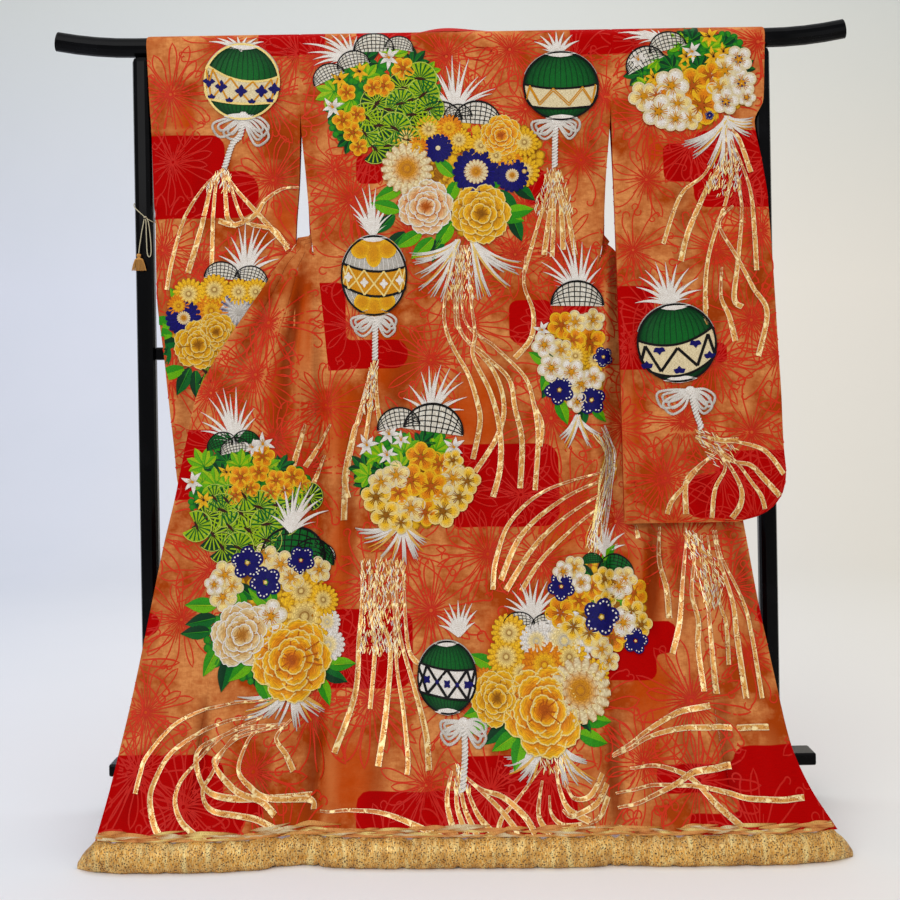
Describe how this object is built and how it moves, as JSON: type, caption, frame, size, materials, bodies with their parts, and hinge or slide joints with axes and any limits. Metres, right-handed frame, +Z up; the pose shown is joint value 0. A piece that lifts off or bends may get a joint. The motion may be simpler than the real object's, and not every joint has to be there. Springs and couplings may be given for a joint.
{
  "type": "uchikake wedding kimono on a kimono stand",
  "caption": "Long open wedding kimono with hanging sleeves and a padded hem roll, draped over the top bar of a black kimono stand, spread train on the floor.",
  "frame": {"origin": "centre of the part's footprint at floor level, midway between the two feet of the stand across", "axes": "+X along the stand's top bar, to the right as the garment's back is viewed; +Y from the garment's back towards its front, so the hem train reaches towards -Y; +Z up"},
  "size_m": [1.7532, 0.6098, 1.7322],
  "materials": {
    "copper_satin": "satin brocade",
    "gold_brocade": "metallic brocade",
    "black_lacquer": "gloss lacquer",
    "cream_cord": "twisted thread",
    "gold_tassel": "silky thread"
  },
  "bodies": {
    "root": {"back_left": "copper_satin", "back_right": "copper_satin", "collar_back": "copper_satin", "collar_left": "copper_satin", "collar_right": "copper_satin", "front_left": "copper_satin", "front_right": "copper_satin", "hem_roll": "gold_brocade", "okumi_left": "copper_satin", "okumi_right": "copper_satin", "sleeve_left_back": "copper_satin", "sleeve_left_front": "copper_satin", "sleeve_right_back": "copper_satin", "sleeve_right_front": "copper_satin", "stand_foot_left": "black_lacquer", "stand_foot_right": "black_lacquer", "stand_lower_rail": "black_lacquer", "stand_mid_rail": "black_lacquer", "stand_post_left": "black_lacquer", "stand_post_right": "black_lacquer", "stand_riser_left": "black_lacquer", "stand_riser_right": "black_lacquer", "stand_top_bar": "black_lacquer", "tie_cord": "cream_cord", "tie_knot": "cream_cord", "tie_loop": "cream_cord", "tie_tail": "cream_cord", "tie_tassel": "gold_tassel"}
  },
  "joints": []
}
